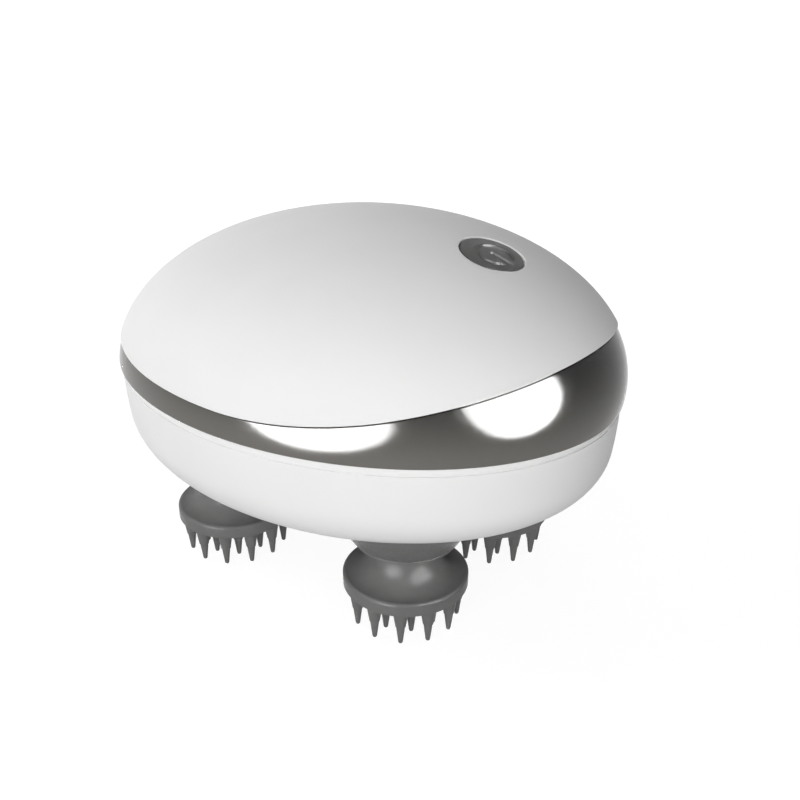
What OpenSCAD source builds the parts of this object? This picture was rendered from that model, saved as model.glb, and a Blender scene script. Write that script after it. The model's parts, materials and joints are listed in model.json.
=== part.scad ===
// Electric scalp massager: a pebble-shaped cordless housing with four
// motor-driven silicone heads that turn on vertical shafts below it.
// Origin: on the plane of the tooth tips, under the middle of the housing.
// +X points to the end where the dark band is wide, +Z points up.

/* [Housing] */
// Half length of the housing at its waist
half_len = 62; // [60:0.5:64]
// Half width of the housing at its waist
half_wid = 49; // [48:0.5:50]
// Height of the waist, the widest level, above the tooth tips
waist_z = 49.2; // [49:0.1:50]
// Height of the domed cover above the waist
dome_rise = 34.6; // [34:0.1:36]
// How far the dome leans towards +X, per unit of height
dome_lean = 0.19; // [0.15:0.01:0.22]
// Wall thickness of the housing
wall = 2.2; // [2:0.1:2.4]
// Level of the flat underside
floor_z = 26.5; // [26:0.1:26.8]
// Half height of the flat egg that bulges the side wall of the lower shell
side_half = 76; // [70:2:90]
// Radius of the edge between side wall and underside
corner_r = 12; // [11:0.5:13]

/* [Band and rims] */
// Level of the joint between band and lower shell
joint_z = 48.9; // [48.7:0.1:49]
// Level of the dome rim along the narrow stretch of the band
rim_z = 54.4; // [53:0.2:56]
// Radius of the sweep that lifts the rim towards +X
rim_sweep_r = 162; // [150:2:200]
// How far the dome rim stands proud of the band
band_inset = 0.5; // [0.3:0.1:0.7]
// How far the lower shell stands inside the dome rim
shell_inset = 0.9; // [0.8:0.1:1.2]
// Height of the bevel on the upper edge of the lower shell
bevel_h = 1; // [0.8:0.1:1.2]

/* [Power button] */
// Distance of the button from the middle of the dome, before the lean
button_x = 27.55; // [27:0.05:29]
// Radius of the button
button_r = 6.7; // [6.5:0.05:7]
// Gap between the button and the hole in the dome
button_gap = 0.25; // [0.2:0.05:0.3]
// Travel of the button
button_travel = 0.6; // [0.4:0.1:0.6]
// Radius of the engraved ring of the power symbol
symbol_r = 3.75; // [3.6:0.05:3.9]
// Width of the engraved lines
symbol_w = 1.1; // [0.8:0.1:1.2]

/* [Massage heads] */
// Outer radius of the tooth plate
plate_r = 13.85; // [13.6:0.05:13.9]
// Level of the underside of the tooth plate
plate_z = 8.6; // [8.4:0.1:8.8]
// Radius of the round rim of the tooth plate
bead_r = 1.5; // [1.4:0.05:1.6]
// Radius of the neck at its waist
neck_r = 7.2; // [7:0.1:7.4]
// Level of the waist of the neck
neck_z = 17.2; // [17:0.1:17.4]
// Radius of the upper lip of the neck
lip_r = 11.6; // [11:0.1:11.8]
// Level of the lower edge of the fixed collar above each head
collar_z = 21; // [20.8:0.1:21.2]
// Radius of the lower edge of the collar
collar_r = 12.05; // [11.8:0.05:12.2]
// Growth of the collar's radius per unit of height
collar_slope = 0.65; // [0.6:0.05:0.65]
// Number of teeth in the outer ring
outer_teeth = 12; // [8:1:12]
// Radius of the outer ring of teeth
outer_ring_r = 11.5; // [11.3:0.1:11.7]
// Number of teeth in the inner ring
inner_teeth = 8; // [6:1:8]
// Radius of the inner ring of teeth
inner_ring_r = 7.4; // [7.2:0.1:7.6]

/* [Gear train] */
// Module of the output stage
out_module = 0.8; // [0.8]
// Teeth of the central drive gear
drive_teeth = 48; // [48]
// Teeth of each output gear
output_teeth = 31; // [31]
// Teeth of the small gear on the idler
idler_pinion_teeth = 17; // [17]
// Module of the motor stage
motor_module = 0.5; // [0.5]
// Teeth of the large gear on the idler
idler_wheel_teeth = 51; // [51]
// Teeth of the motor pinion
motor_pinion_teeth = 17; // [17]
// Angle between the X axis and the line from the drive gear to a head
head_angle = 35.8; // [35:0.1:36.5]

/* [Hidden] */
CORNERS = ["front_right", "front_left", "rear_right", "rear_left"];
HEAD_PIECES = ["gear", "shaft", "hub", "head"];

// Colours
white = [0.93, 0.93, 0.92];
band_grey = [0.30, 0.29, 0.28];
rubber_grey = [0.36, 0.36, 0.36];
button_grey = [0.33, 0.33, 0.32];
steel = [0.75, 0.76, 0.78];
brass = [0.80, 0.66, 0.35];
nylon = [0.88, 0.87, 0.80];
board_green = [0.10, 0.35, 0.20];
cell_blue = [0.20, 0.35, 0.60];
magnet_grey = [0.25, 0.25, 0.27];
black = [0.10, 0.10, 0.11];

// Smoothness
form_fn = 160;
round_fn = 64;
small_fn = 32;

// General: a sliver that makes joins overlap, how far a cut runs past a face,
// and a length past everything
eps = 0.01;
over = 1;
big = 400;
// Running clearance of a shaft or a gear bore, on the radius
running = 0.05;

// Housing: the band's tongue inside the dome, the groove and the gasket seat
tongue_gap = 0.2;
tongue_h = 1.8;
band_wall = wall + tongue_gap + 1.2;
bevel_w = 0.45;
groove_below = 1.5;
groove_w = 0.3;
groove_depth = 0.25;
gasket_in = 1.2;
gasket_t = 1;

// Lower shell: the bulging side wall meets a round corner at the split level
oval_x = half_len / half_wid;
shell_r = half_wid - shell_inset;
split_z = floor_z + 10.8;
split_r = shell_r * sqrt(1 - pow((waist_z - split_z) / side_half, 2));
hair = 0.02;
corner_z = floor_z + corner_r - hair;
corner_x = split_r - hair - sqrt(pow(corner_r, 2) - pow(corner_z - split_z, 2));

// Pan-head screws: size of the cross recess, as shares of head and shank
recess_span = 0.6;
recess_half = 0.2;
recess_from = 0.5;

// Screws that clamp lower shell, band and dome
case_screw = [24, 37.5];
case_column_r = 3.2;
case_shank_r = 1.2;
case_head_r = 2;
case_head_h = 1.5;
case_head_z = 38;
case_screw_len = 20;
ear_h = 2.4;

// Button: place and direction of its axis on the dome
button_up = dome_rise * sqrt(1 - pow(button_x / half_len, 2));
button_pos = [button_x + dome_lean * button_up, 0, waist_z + button_up];
slope_x = button_x / pow(half_len, 2);
slope_z = button_up / pow(dome_rise, 2) - dome_lean * slope_x;
button_tilt = atan2(slope_x, slope_z);
hole_r = button_r + button_gap;
edge_break = 0.2;
cap_sink = 0.15;
cap_top = -cap_sink;
flange_r = button_r + 1.1;
flange_t = 1;
flange_top = -wall - 0.75;
flange_low = flange_top - flange_t;
guide_r = flange_r + 2.2;
membrane_t = 0.8;
membrane_top = flange_low - button_travel - 0.2;
symbol_depth = 0.45;
symbol_x = 0.6;
symbol_gap = 3;
bar_from = -1.05;
bar_to = 4.8;

// Control board under the button, in the button's own frame
board_drop = 10.5;
board_t = 1.2;
board_size = [36, 26];
board_boss = [13.5, 9];
boss_r = 2.4;
board_shank_r = 0.9;
board_screw_len = 5;
board_head = [1.8, 1.2];
chip_w = 6;
chip_t = 1.2;
switch_w = 6;
switch_h = 3.4;
switch_well = 2;
switch_top = -board_drop + switch_h;
stem_r = 1.7;
stem_gap = 0.1;
stem_top = switch_top + 0.8;
stem_low = switch_top - 1.2;

// Gear train: centre distances and places
pitch_dist = out_module * (drive_teeth + output_teeth) / 2;
idler_dist = out_module * (drive_teeth + idler_pinion_teeth) / 2;
motor_dist = motor_module * (idler_wheel_teeth + motor_pinion_teeth) / 2;
idler_pos = [0, -idler_dist, 0];
motor_pos = [0, -idler_dist + motor_dist, 0];
heads = [
    for (sx = [1, -1], sy = [-1, 1])
        [sx * pitch_dist * cos(head_angle), sy * pitch_dist * sin(head_angle), 0]
];
out_backlash = 0.14;
motor_backlash = 0.12;
pressure = 20;
flank_steps = 4;

// Gear train: levels, from the floor of the shell up to the chassis
end_play = 0.2;
gear_z = 31.2;
gear_face = 4.2;
idler_z = gear_z + gear_face + 0.6;
idler_face = 3.8;
wheel_z = idler_z + idler_face + 0.8;
wheel_face = 3;
chassis_z = wheel_z + wheel_face + 1.2;
chassis_t = 2;
chassis_top = chassis_z + chassis_t;
chassis_r = 37;
chassis_rib = 1.4;
chassis_rim = 2;
post_pos = [16.5, 35.5];
post_r = 3;
post_ear_r = 3.6;
post_shank_r = 1.1;
post_screw_len = 7;
post_head = [2.1, 1.5];
post_recess_r = 2.8;
post_pilot = 8;
shaft_r = 2;
pin_r = 2.5;
idler_pin_r = 1.5;
pin_foot = floor_z + 1;
pin_end = chassis_z + 1;
bush_r = 3.5;
bush_flange_r = 4.6;
bush_flange_t = 0.6;
boss_wall = 1.4;
boss_top = gear_z - end_play - bush_flange_t;
seal_t = 1.2;
gear_hub_r = 4.2;
drive_hub_r = pin_r + 1.1;
light_holes = 6;
light_hole_r = 3.4;
light_ring_r = 10.8;
idler_web_r = 5.4;
idler_hub_r = 3.4;

// Motor
motor_r = 12.2;
motor_h = 26.5;
motor_wall = 1;
motor_shaft_r = 1;
motor_boss_r = 3;
motor_cap_t = 1.6;
motor_spigot = 2;
motor_screw_x = 8.5;
motor_head = [1.8, 1];
shaft_stub = 0.4;
motor_shank_r = 0.9;
magnet_t = 2;
magnet_h = 18;
magnet_z = chassis_top + 3;
magnet_span = 130;
armature_r = 8.4;
armature_h = 15;
armature_slots = 5;
slot_r = 1.9;
slot_ring_r = armature_r - 3.2;
slot_mouth = 1;
armature_z = chassis_top + 4.5;

// Battery
cell_r = 9.2;
cell_len = 50;
cell_y = 19.5;
cell_lift = 1.6;
cell_z = chassis_top + cell_lift + cell_r;
cell_tip_r = 3;
cell_tip_h = 1.4;
cradle_len = 44;
cradle_w = 17;
cradle_h = 6;
strap_t = 0.8;
strap_w = 9;

// Charging socket in the rear wall of the lower shell
socket_z = 41;
socket_w = 8.94;
socket_h = 3.2;
socket_len = 7.4;
socket_wall = 0.3;
socket_x = -half_len + 2.1;
gasket_rim = 1.1;
tongue_size = [5, 6.7, 0.7];
pcb_size = [14, 15, 1];
pcb_back = 3.2;
pcb_top = socket_z - socket_h / 2;
rib_t = 1.6;

// Fixed collars: cones that run up into the underside of the lower shell
collar_edge_r = 0.4;
collar_bore_r = 2.6;
collar_end = 30;
collar_lean = atan(collar_slope);

// Massage head: a spool with a wide arc below its waist and a tight one above
bead_x = plate_r - bead_r;
bead_z = plate_z + 0.9 * bead_r;
bowl_r = 6.5;
head_gap = 0.3;
head_top = collar_z - head_gap;
lip_t = 0.5;
flare_r = head_top - lip_t - neck_z;
arc_steps = 12;
hub_z = plate_z + 2.6;
hub_top = head_top;
hub_core_r = 4.5;
hub_lobes = 6;
hub_lobe_r = 1;
hub_flange_r = 7;
hub_flange_t = 1.4;

// Teeth of the heads
root_r = 1.8;
shoulder_r = 1.15;
waist_r = 0.98;
tip_r = 0.52;
shoulder_z = 4.2;
shoulder_h = 0.3;
root_sink = 0.5;

// ------------------------------------------------------------ forms

// The leaning egg that the dome and the band share, made smaller by inset.
module egg(inset) {
    lean = [[1, 0, dome_lean, 0], [0, 1, 0, 0], [0, 0, 1, 0], [0, 0, 0, 1]];
    translate([0, 0, waist_z])
        multmatrix(lean)
            scale([half_len - inset, half_wid - inset, dome_rise - inset])
                sphere(r = 1, $fn = form_fn);
}

// Everything above the rim: level towards -X, swept up towards +X.
module above_rim(lift = 0) {
    translate([0, big / 2, 0])
        rotate([90, 0, 0])
            linear_extrude(big) {
                translate([-big / 2, rim_z + lift])
                    square([big / 2, big / 2]);
                intersection() {
                    translate([0, rim_z + lift + rim_sweep_r])
                        circle(rim_sweep_r, $fn = form_fn);
                    square(big / 2);
                }
            }
}

// All space between two levels.
module between(low, high) {
    translate([-big / 2, -big / 2, low])
        cube([big, big, high - low]);
}

// An oval disc or cone between two levels, given by its radii across Y.
module oval_disc(low, high, r_low, r_high) {
    translate([0, 0, low])
        scale([oval_x, 1, 1])
            cylinder(r1 = r_low, r2 = r_high, h = high - low, $fn = form_fn);
}

// The lower shell as a full body, made smaller by inset.
module bowl(inset) {
    intersection() {
        translate([0, 0, waist_z])
            scale([oval_x * shell_r - inset, shell_r - inset, side_half - inset])
                sphere(r = 1, $fn = form_fn);
        between(split_z, joint_z + (inset > 0 ? over : 0));
    }
    intersection() {
        union() {
            scale([oval_x, 1, 1])
                rotate_extrude($fn = form_fn)
                    translate([corner_x, corner_z])
                        circle(corner_r - inset, $fn = form_fn);
            oval_disc(0, joint_z, corner_x, corner_x);
        }
        between(floor_z + inset, split_z);
    }
}

// What the joint takes off the lower shell: bevel, groove line, gasket seat.
module joint_cuts() {
    difference() {
        between(joint_z - bevel_h, joint_z + over);
        oval_disc(joint_z - bevel_h - over, joint_z + 2 * over,
            shell_r + over * bevel_w / bevel_h,
            shell_r - bevel_w - 2 * over * bevel_w / bevel_h);
    }
    difference() {
        between(joint_z - groove_below - groove_w, joint_z - groove_below);
        oval_disc(floor_z, joint_z, shell_r - groove_depth, shell_r - groove_depth);
    }
    oval_disc(joint_z - gasket_t, joint_z + over, shell_r - gasket_in, shell_r - gasket_in);
}

// Repeats its children at the four heads.
module at_heads() {
    for (place = heads)
        translate(place)
            children();
}

// Repeats its children in the four quadrants.
module at_four(place) {
    for (sx = [-1, 1], sy = [-1, 1])
        translate([sx * place[0], sy * place[1], 0])
            children();
}

// Puts its children in the frame of the button: +Z points out of the dome.
module at_button() {
    translate(button_pos)
        rotate([0, button_tilt, 0])
            children();
}

// A pan-head screw: its head stands on z = 0, its shank hangs below.
module screw(shank_r, length, head_r, head_h) {
    difference() {
        union() {
            cylinder(r = head_r, h = head_h, $fn = small_fn);
            translate([0, 0, -length])
                cylinder(r = shank_r, h = length + eps, $fn = small_fn);
        }
        for (turn = [0, 90])
            rotate([0, 0, turn])
                translate([-head_r * recess_span, -shank_r * recess_half, head_h * recess_from])
                    cube([2 * head_r * recess_span, 2 * shank_r * recess_half, head_h]);
    }
}

// An outline with round ends.
module stadium(w, h) {
    square([w - h, h], center = true);
    for (side = [-1, 1])
        translate([side * (w - h) / 2, 0])
            circle(h / 2, $fn = small_fn);
}

// Extrudes an outline along +X from the mouth of the charging socket.
module from_socket(start, length) {
    translate([socket_x + start, 0, socket_z])
        rotate([90, 0, 90])
            linear_extrude(length)
                children();
}

// Points on an arc round c from angle a to angle b, less the first few.
function arc(c, r, a, b, skip = 0) = [
    for (i = [skip : arc_steps])
        let (t = a + (b - a) * i / arc_steps)
            c + r * [cos(t), sin(t)]
];

// ------------------------------------------------------------ gear teeth

// A point of the involute of a circle of radius rb, unrolled by t degrees.
function involute(rb, t) = rb * [
    cos(t) + t * PI / 180 * sin(t),
    sin(t) - t * PI / 180 * cos(t)
];
// Unroll angle at which the involute reaches radius r.
function unroll(rb, r) = sqrt(max(0, pow(r / rb, 2) - 1)) * 180 / PI;
function turned(p, a) = [p[0] * cos(a) - p[1] * sin(a), p[0] * sin(a) + p[1] * cos(a)];
function mirrored(p) = [p[0], -p[1]];

// One flank from root to tip, below the tooth's centre line.
function flank(rb, rf, ra, half) = concat(
    rf < rb ? [turned([rf, 0], -half)] : [],
    [for (i = [0 : flank_steps])
        let (t0 = unroll(rb, max(rb, rf)), t1 = unroll(rb, ra))
            turned(involute(rb, t0 + (t1 - t0) * i / flank_steps), -half)]
);

// Outline of a spur gear with n teeth of module m, one of them on the X axis.
function gear_outline(m, n, backlash) =
    let (
        rp = m * n / 2,
        rb = rp * cos(pressure),
        base_swing = tan(pressure) * 180 / PI - pressure,
        half = 90 / n - backlash / 4 / rp * 180 / PI + base_swing,
        low_side = flank(rb, rp - 1.25 * m, rp + m, half),
        high_side = [for (i = [len(low_side) - 1 : -1 : 0]) mirrored(low_side[i])]
    )
    [for (k = [0 : n - 1], p = concat(low_side, high_side)) turned(p, k * 360 / n)];

module spur(m, n, backlash, face) {
    linear_extrude(face)
        polygon(gear_outline(m, n, backlash));
}

// Turn that meshes a gear of n teeth, which lies in direction a, with a gear
// of n0 teeth whose tooth points to turn0.
function mesh_turn(n0, turn0, n, a) = a + 180 + (n0 * (a - turn0) - 180) / n;

idler_turn = mesh_turn(drive_teeth, 0, idler_pinion_teeth, -90);
motor_turn = mesh_turn(idler_wheel_teeth, idler_turn, motor_pinion_teeth, 90);
function output_turn(place) =
    mesh_turn(drive_teeth, 0, output_teeth, atan2(place[1], place[0]));

// ------------------------------------------------------------ housing

module top_cover() {
    color(white)
        difference() {
            union() {
                difference() {
                    intersection() {
                        egg(0);
                        above_rim();
                    }
                    egg(wall);
                }
                intersection() {
                    egg(wall / 2);
                    union() {
                        at_button()
                            at_four(board_boss)
                                translate([0, 0, -board_drop])
                                    cylinder(r = boss_r, h = board_drop, $fn = small_fn);
                        at_four(case_screw)
                            translate([0, 0, joint_z + ear_h])
                                cylinder(r = case_column_r, h = big, $fn = small_fn);
                    }
                }
            }
            at_button() {
                translate([0, 0, -2 * wall])
                    cylinder(r = hole_r, h = 4 * wall, $fn = round_fn);
                translate([0, 0, -edge_break])
                    cylinder(r1 = hole_r, r2 = hole_r + wall, h = wall, $fn = round_fn);
                at_four(board_boss)
                    translate([0, 0, -board_drop - eps])
                        cylinder(r = board_shank_r, h = board_screw_len, $fn = small_fn);
            }
            at_four(case_screw)
                cylinder(r = case_shank_r, h = case_head_z + case_screw_len + over, $fn = small_fn);
        }
}

// The band, with a tongue that centres it in the dome and ears for the screws.
module mid_band() {
    color(band_grey)
        difference() {
            intersection() {
                between(joint_z, big / 2);
                difference() {
                    union() {
                        difference() {
                            egg(band_inset);
                            above_rim();
                        }
                        difference() {
                            egg(wall + tongue_gap);
                            above_rim(tongue_h);
                        }
                    }
                    difference() {
                        egg(band_wall);
                        band_ears();
                    }
                }
            }
            at_four(case_screw) {
                cylinder(r = case_shank_r, h = big, $fn = small_fn);
                translate([0, 0, joint_z + ear_h])
                    cylinder(r = case_column_r + tongue_gap, h = big, $fn = small_fn);
            }
        }
}

module band_ears() {
    ear_turn = atan2(case_screw[1], case_screw[0]);
    for (sx = [-1, 1], sy = [-1, 1])
        translate([sx * case_screw[0], sy * case_screw[1], joint_z]) {
            cylinder(r = case_column_r, h = ear_h, $fn = small_fn);
            rotate([0, 0, sx * sy * ear_turn])
                translate([sx > 0 ? 0 : -2 * case_column_r, -case_column_r, 0])
                    cube([2 * case_column_r, 2 * case_column_r, ear_h]);
        }
}

module bottom_shell() {
    color(white)
        difference() {
            union() {
                difference() {
                    bowl(0);
                    bowl(wall);
                    joint_cuts();
                }
                intersection() {
                    bowl(wall / 2);
                    shell_bosses();
                }
            }
            shell_bores();
        }
}

module shell_bosses() {
    at_heads()
        cylinder(r = bush_flange_r + boss_wall, h = boss_top, $fn = round_fn);
    cylinder(r = pin_r + boss_wall, h = gear_z - end_play, $fn = round_fn);
    translate(idler_pos)
        cylinder(r = idler_pin_r + boss_wall, h = idler_z - end_play, $fn = small_fn);
    at_four(post_pos)
        cylinder(r = post_r, h = chassis_z, $fn = small_fn);
    at_four(case_screw)
        cylinder(r = case_column_r, h = joint_z, $fn = small_fn);
    for (side = [-1, 1])
        translate([-half_len, side * pcb_size[1] / 2 - rib_t / 2, 0])
            cube([half_len + socket_x + pcb_size[0], rib_t, pcb_top - pcb_size[2]]);
}

module shell_bores() {
    at_heads() {
        cylinder(r = bush_r, h = boss_top + over, $fn = round_fn);
        cylinder(r = bush_flange_r, h = floor_z + seal_t, $fn = round_fn);
    }
    translate([0, 0, pin_foot])
        cylinder(r = pin_r, h = gear_z, $fn = small_fn);
    translate(idler_pos)
        translate([0, 0, pin_foot])
            cylinder(r = idler_pin_r, h = idler_z, $fn = small_fn);
    at_four(post_pos)
        translate([0, 0, chassis_z - post_pilot])
            cylinder(r = post_shank_r, h = post_pilot + over, $fn = small_fn);
    at_four(case_screw) {
        cylinder(r = case_head_r + 0.1, h = case_head_z, $fn = small_fn);
        cylinder(r = case_shank_r, h = joint_z + over, $fn = small_fn);
    }
    from_socket(-socket_len, 2 * socket_len)
        stadium(socket_w + 2 * gasket_rim, socket_h + 2 * gasket_rim);
}

// Fixed collars that close the lower shell above the heads, one cone each.
module head_collars() {
    color(rubber_grey)
        difference() {
            at_heads()
                rotate_extrude($fn = form_fn)
                    polygon(collar_outline());
            bowl(0);
        }
}

// Half section of a collar, its lower edge rounded; the shaft runs in its bore.
function collar_outline() =
    let (edge_x = collar_r + collar_edge_r * (collar_slope - 1 / cos(collar_lean)))
    concat(
        [[collar_bore_r, collar_z]],
        arc([edge_x, collar_z + collar_edge_r], collar_edge_r, -90, -collar_lean),
        [
            [collar_r + collar_slope * (collar_end - collar_z), collar_end],
            [collar_bore_r, collar_end]
        ]
    );

module shell_gasket() {
    seat_r = shell_r - gasket_in;
    color(black)
        difference() {
            oval_disc(joint_z - gasket_t, joint_z, seat_r, seat_r);
            oval_disc(joint_z - gasket_t - over, joint_z + over, seat_r - gasket_t, seat_r - gasket_t);
        }
}

module case_screws() {
    color(steel)
        at_four(case_screw)
            translate([0, 0, case_head_z])
                rotate([180, 0, 0])
                    screw(case_shank_r, case_screw_len, case_head_r, case_head_h);
}

// ------------------------------------------------------------ button

module power_button() {
    color(button_grey)
        difference() {
            union() {
                intersection() {
                    egg(cap_sink);
                    at_button() {
                        translate([0, 0, flange_low])
                            cylinder(r = button_r, h = cap_top - edge_break - flange_low, $fn = round_fn);
                        translate([0, 0, cap_top - edge_break - eps])
                            cylinder(r1 = button_r, r2 = button_r - over, h = over, $fn = round_fn);
                    }
                }
                at_button() {
                    translate([0, 0, flange_low])
                        cylinder(r = flange_r, h = flange_t, $fn = round_fn);
                    translate([0, 0, stem_top])
                        cylinder(r = stem_r, h = flange_low - stem_top + eps, $fn = small_fn);
                }
            }
            at_button()
                translate([0, 0, cap_top - symbol_depth])
                    linear_extrude(big)
                        translate([symbol_x, 0])
                            power_symbol();
        }
}

// The generic on-off sign: an open ring and a bar, its top towards +X.
module power_symbol() {
    difference() {
        circle(symbol_r + symbol_w / 2, $fn = round_fn);
        circle(symbol_r - symbol_w / 2, $fn = round_fn);
        translate([0, -symbol_gap / 2])
            square([symbol_r * 2, symbol_gap]);
    }
    translate([bar_from, -symbol_w / 2])
        square([bar_to - bar_from, symbol_w]);
}

module switch_stem() {
    color(black)
        at_button()
            translate([0, 0, stem_low])
                cylinder(r = stem_r, h = stem_top - stem_low, $fn = small_fn);
}

module button_guide() {
    color(black)
        intersection() {
            egg(wall);
            at_button()
                translate([0, 0, membrane_top])
                    difference() {
                        cylinder(r = guide_r, h = big, $fn = round_fn);
                        translate([0, 0, -over])
                            cylinder(r = flange_r + button_gap, h = big, $fn = round_fn);
                    }
        }
}

module button_membrane() {
    color(rubber_grey)
        at_button()
            translate([0, 0, membrane_top - membrane_t])
                difference() {
                    cylinder(r = guide_r, h = membrane_t, $fn = round_fn);
                    translate([0, 0, -over])
                        cylinder(r = stem_r + button_gap, h = big, $fn = small_fn);
                }
}

module tact_switch() {
    color(black)
        at_button()
            translate([0, 0, -board_drop])
                difference() {
                    translate([-switch_w / 2, -switch_w / 2, 0])
                        cube([switch_w, switch_w, switch_h]);
                    translate([0, 0, switch_h - switch_well])
                        cylinder(r = stem_r + stem_gap, h = big, $fn = small_fn);
                }
}

module control_board() {
    color(board_green)
        at_button()
            translate([0, 0, -board_drop - board_t]) {
                difference() {
                    translate([-board_size[0] / 2, -board_size[1] / 2, 0])
                        cube([board_size[0], board_size[1], board_t]);
                    at_four(board_boss)
                        translate([0, 0, -over])
                            cylinder(r = board_shank_r, h = board_t + 2 * over, $fn = small_fn);
                }
                translate([-chip_w / 2, -chip_w / 2, -chip_t])
                    cube([chip_w, chip_w, chip_t]);
            }
}

module board_screws() {
    color(steel)
        at_button()
            at_four(board_boss)
                translate([0, 0, -board_drop - board_t])
                    rotate([180, 0, 0])
                        screw(board_shank_r, board_screw_len, board_head[0], board_head[1]);
}

// ------------------------------------------------------------ gearbox

module gear_chassis() {
    color(nylon)
        difference() {
            union() {
                difference() {
                    oval_disc(chassis_z, chassis_top + chassis_rim, chassis_r, chassis_r);
                    oval_disc(chassis_top, joint_z * 2, chassis_r - chassis_rib, chassis_r - chassis_rib);
                }
                at_four(post_pos)
                    translate([0, 0, chassis_z])
                        cylinder(r = post_ear_r, h = chassis_t + chassis_rim, $fn = small_fn);
            }
            at_heads()
                cylinder(r = bush_r, h = big, $fn = round_fn);
            at_four(post_pos) {
                cylinder(r = post_shank_r, h = big, $fn = small_fn);
                translate([0, 0, chassis_top])
                    cylinder(r = post_recess_r, h = big, $fn = small_fn);
            }
            cylinder(r = pin_r, h = pin_end, $fn = small_fn);
            translate(idler_pos)
                cylinder(r = idler_pin_r, h = pin_end, $fn = small_fn);
            translate(motor_pos) {
                cylinder(r = motor_boss_r, h = big, $fn = small_fn);
                for (side = [-1, 1])
                    translate([side * motor_screw_x, 0, 0])
                        cylinder(r = motor_shank_r, h = big, $fn = small_fn);
            }
        }
}

module chassis_screws() {
    color(steel)
        at_four(post_pos)
            translate([0, 0, chassis_top])
                screw(post_shank_r, post_screw_len, post_head[0], post_head[1]);
}

module centre_pin() {
    color(steel)
        translate([0, 0, pin_foot])
            cylinder(r = pin_r, h = pin_end - pin_foot, $fn = small_fn);
}

module idler_pin() {
    color(steel)
        translate(idler_pos)
            translate([0, 0, pin_foot])
                cylinder(r = idler_pin_r, h = pin_end - pin_foot, $fn = small_fn);
}

// A flanged bush that stands on z = 0 with its flange on top.
module bush(length) {
    difference() {
        union() {
            cylinder(r = bush_r, h = length, $fn = round_fn);
            translate([0, 0, length - bush_flange_t])
                cylinder(r = bush_flange_r, h = bush_flange_t, $fn = round_fn);
        }
        translate([0, 0, -over])
            cylinder(r = shaft_r + running, h = length + 2 * over, $fn = round_fn);
    }
}

module lower_bushings() {
    low = floor_z + seal_t;
    color(brass)
        at_heads()
            translate([0, 0, low])
                bush(boss_top + bush_flange_t - low);
}

module upper_bushings() {
    color(brass)
        at_heads()
            translate([0, 0, chassis_top])
                rotate([180, 0, 0])
                    bush(chassis_t + bush_flange_t);
}

module shaft_seals() {
    color(black)
        at_heads()
            translate([0, 0, floor_z])
                difference() {
                    cylinder(r = bush_flange_r, h = seal_t, $fn = round_fn);
                    translate([0, 0, -over])
                        cylinder(r = shaft_r + running, h = seal_t + 2 * over, $fn = round_fn);
                }
}

module drive_gear() {
    color(nylon)
        translate([0, 0, gear_z])
            difference() {
                union() {
                    spur(out_module, drive_teeth, out_backlash, idler_z + idler_face - gear_z);
                    cylinder(r = drive_hub_r, h = chassis_z - end_play - gear_z, $fn = round_fn);
                }
                translate([0, 0, -over])
                    cylinder(r = pin_r + running, h = big, $fn = round_fn);
                for (k = [0 : light_holes - 1])
                    rotate([0, 0, k * 360 / light_holes])
                        translate([light_ring_r, 0, -over])
                            cylinder(r = light_hole_r, h = big, $fn = small_fn);
            }
}

module idler_gear() {
    color(nylon)
        translate(idler_pos)
            difference() {
                union() {
                    translate([0, 0, idler_z])
                        rotate([0, 0, idler_turn])
                            spur(out_module, idler_pinion_teeth, out_backlash, idler_face);
                    translate([0, 0, idler_z + idler_face - eps])
                        cylinder(
                            r = idler_web_r,
                            h = wheel_z - idler_z - idler_face + 2 * eps,
                            $fn = round_fn
                        );
                    translate([0, 0, wheel_z])
                        rotate([0, 0, idler_turn])
                            spur(motor_module, idler_wheel_teeth, motor_backlash, wheel_face);
                    translate([0, 0, wheel_z])
                        cylinder(r = idler_hub_r, h = chassis_z - end_play - wheel_z, $fn = round_fn);
                }
                cylinder(r = idler_pin_r + running, h = big, $fn = round_fn);
            }
}

// ------------------------------------------------------------ motor

module motor_can() {
    color(steel)
        translate(motor_pos)
            difference() {
                union() {
                    translate([0, 0, chassis_top])
                        cylinder(r = motor_r, h = motor_h - motor_cap_t, $fn = round_fn);
                    translate([0, 0, chassis_z])
                        cylinder(r = motor_boss_r, h = chassis_t + eps, $fn = small_fn);
                }
                translate([0, 0, chassis_top + motor_wall])
                    cylinder(r = motor_r - motor_wall, h = motor_h, $fn = round_fn);
                cylinder(r = motor_shaft_r + running, h = big, $fn = small_fn);
                for (side = [-1, 1])
                    translate([side * motor_screw_x, 0, 0])
                        cylinder(r = motor_shank_r, h = big, $fn = small_fn);
            }
}

module motor_magnets() {
    color(magnet_grey)
        translate(motor_pos)
            translate([0, 0, magnet_z])
                for (side = [0, 180])
                    rotate([0, 0, side - magnet_span / 2])
                        rotate_extrude(angle = magnet_span, $fn = round_fn)
                            translate([motor_r - motor_wall - magnet_t, 0])
                                square([magnet_t, magnet_h]);
}

module motor_end_cap() {
    cap_z = chassis_top + motor_h - motor_cap_t;
    color(black)
        translate(motor_pos)
            difference() {
                union() {
                    translate([0, 0, cap_z])
                        cylinder(r = motor_r, h = motor_cap_t, $fn = round_fn);
                    translate([0, 0, cap_z - motor_spigot])
                        cylinder(r = motor_r - motor_wall, h = motor_spigot + eps, $fn = round_fn);
                }
                cylinder(r = motor_shaft_r + running, h = big, $fn = small_fn);
            }
}

module motor_screws() {
    color(steel)
        translate(motor_pos)
            for (side = [-1, 1])
                translate([side * motor_screw_x, 0, chassis_z])
                    rotate([180, 0, 0])
                        screw(motor_shank_r, chassis_t + motor_wall + over, motor_head[0], motor_head[1]);
}

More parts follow.
